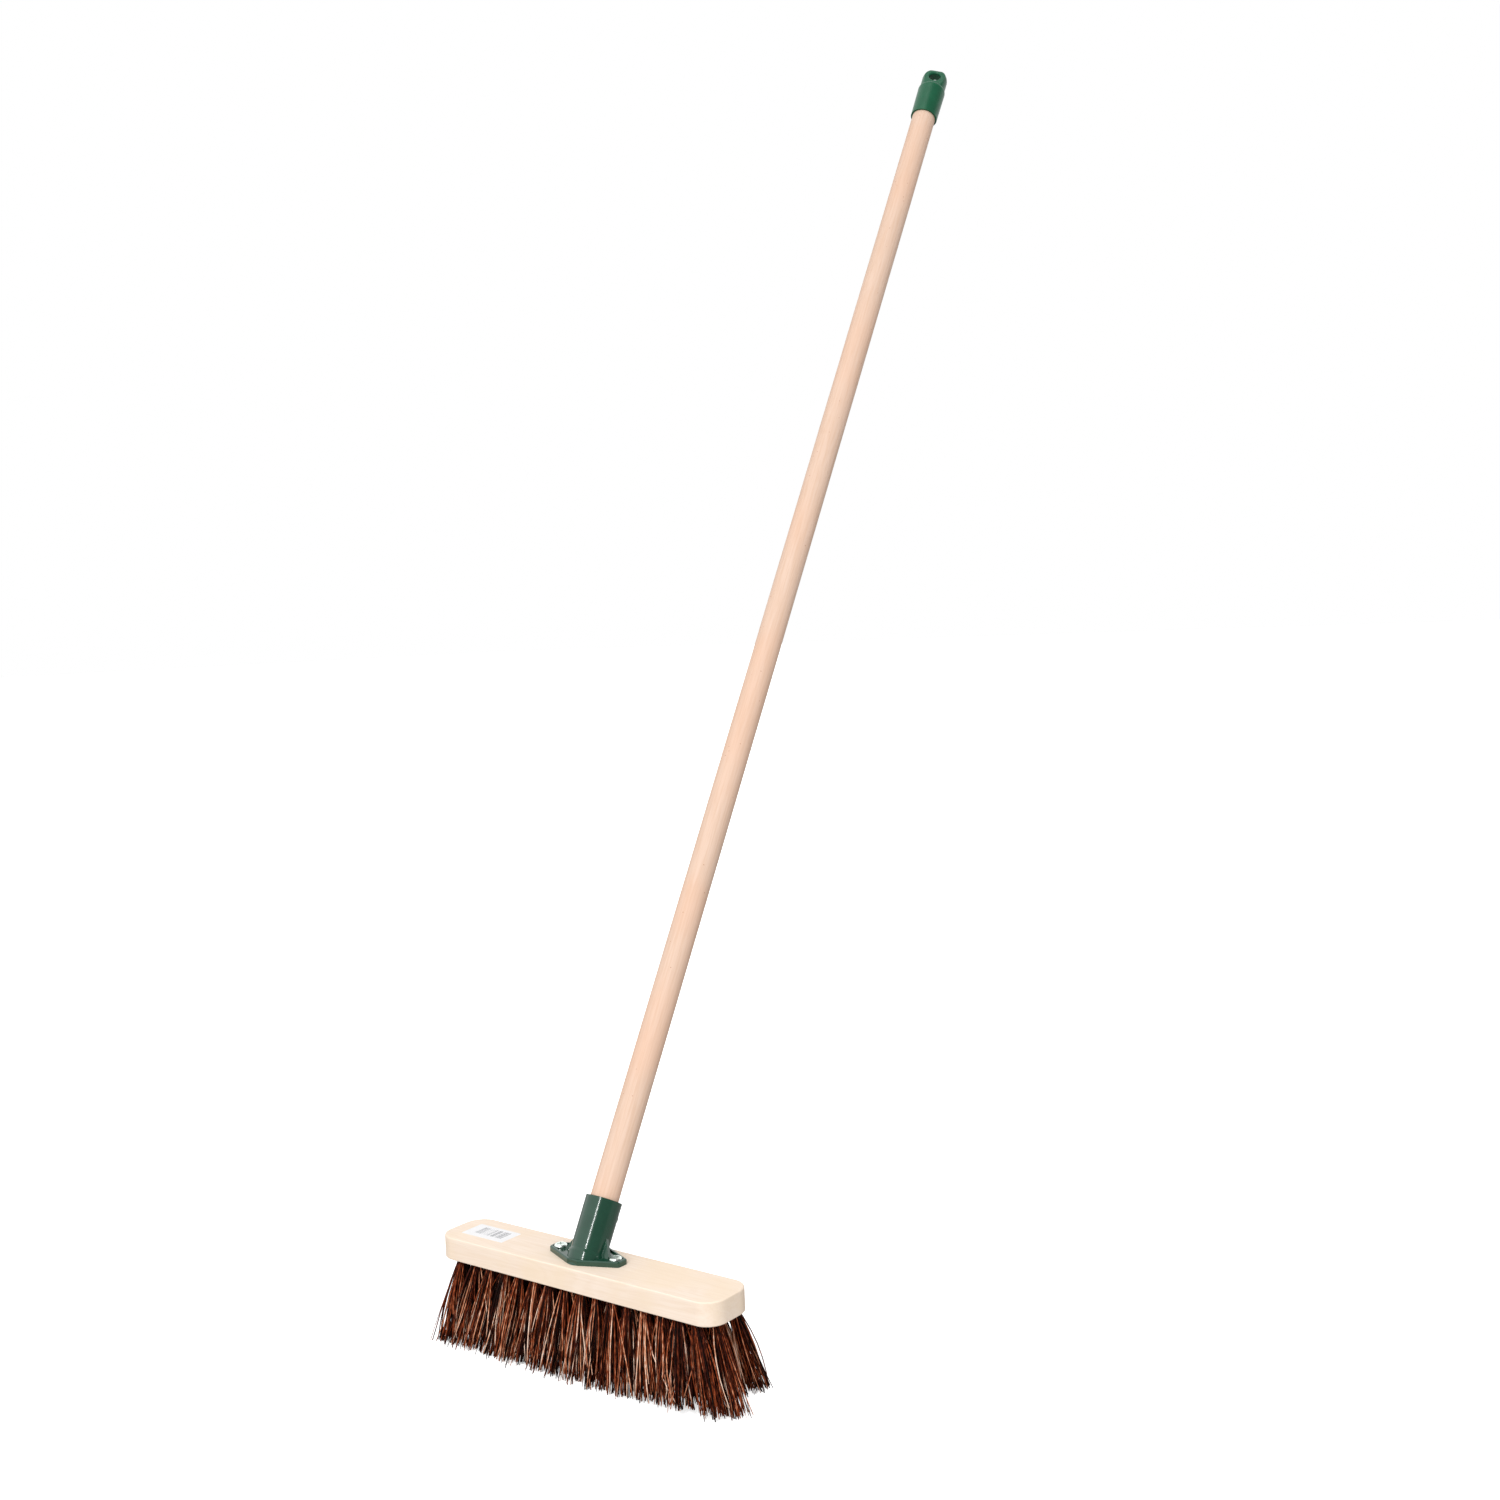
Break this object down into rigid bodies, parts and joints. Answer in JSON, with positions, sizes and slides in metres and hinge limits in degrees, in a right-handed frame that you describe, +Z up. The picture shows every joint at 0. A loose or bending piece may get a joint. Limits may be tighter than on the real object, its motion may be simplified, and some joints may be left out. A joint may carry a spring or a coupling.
{
  "type": "push broom",
  "caption": "Push broom with a flat timber stock of flared fibre tufts, a moulded socket bracket, a leaning round timber handle and a hang cap with an eye.",
  "frame": {"origin": "centre of the trimmed bristle tips, on the floor under the middle of the stock", "axes": "+Z up, +X along the stock, +Y to the back, the way the handle leans"},
  "size_m": [0.3196, 0.6716, 1.1741],
  "materials": {
    "stock_timber": "matte",
    "handle_timber": "satin",
    "socket_plastic": "gloss",
    "cap_plastic": "satin",
    "zinc_plated_steel": "satin",
    "anchor_wire": "satin",
    "bristle_fibre": "satin",
    "label_paper": "matte"
  },
  "bodies": {
    "root": {"broom_stock": "stock_timber", "flange_screw_left": "zinc_plated_steel", "flange_screw_right": "zinc_plated_steel", "handle_pole": "handle_timber", "handle_retaining_screw": "zinc_plated_steel", "hang_cap": "cap_plastic", "socket_bracket": "socket_plastic", "stock_label": "label_paper", "tuft_anchors_row_1": "anchor_wire", "tuft_anchors_row_2": "anchor_wire", "tuft_anchors_row_3": "anchor_wire", "tuft_anchors_row_4": "anchor_wire", "tuft_column_01": "bristle_fibre", "tuft_column_02": "bristle_fibre", "tuft_column_03": "bristle_fibre", "tuft_column_04": "bristle_fibre", "tuft_column_05": "bristle_fibre", "tuft_column_06": "bristle_fibre", "tuft_column_07": "bristle_fibre", "tuft_column_08": "bristle_fibre", "tuft_column_09": "bristle_fibre", "tuft_column_10": "bristle_fibre", "tuft_column_11": "bristle_fibre", "tuft_column_12": "bristle_fibre", "tuft_column_13": "bristle_fibre", "tuft_column_14": "bristle_fibre", "tuft_column_15": "bristle_fibre", "tuft_column_16": "bristle_fibre", "tuft_column_17": "bristle_fibre", "tuft_column_18": "bristle_fibre", "tuft_column_19": "bristle_fibre", "tuft_column_20": "bristle_fibre", "tuft_column_21": "bristle_fibre", "tuft_column_22": "bristle_fibre", "tuft_column_23": "bristle_fibre", "tuft_column_24": "bristle_fibre", "tuft_column_25": "bristle_fibre", "tuft_column_26": "bristle_fibre", "tuft_column_27": "bristle_fibre", "tuft_column_28": "bristle_fibre", "tuft_column_29": "bristle_fibre", "tuft_column_30": "bristle_fibre", "tuft_column_31": "bristle_fibre", "tuft_column_32": "bristle_fibre", "tuft_column_33": "bristle_fibre"}
  },
  "joints": []
}
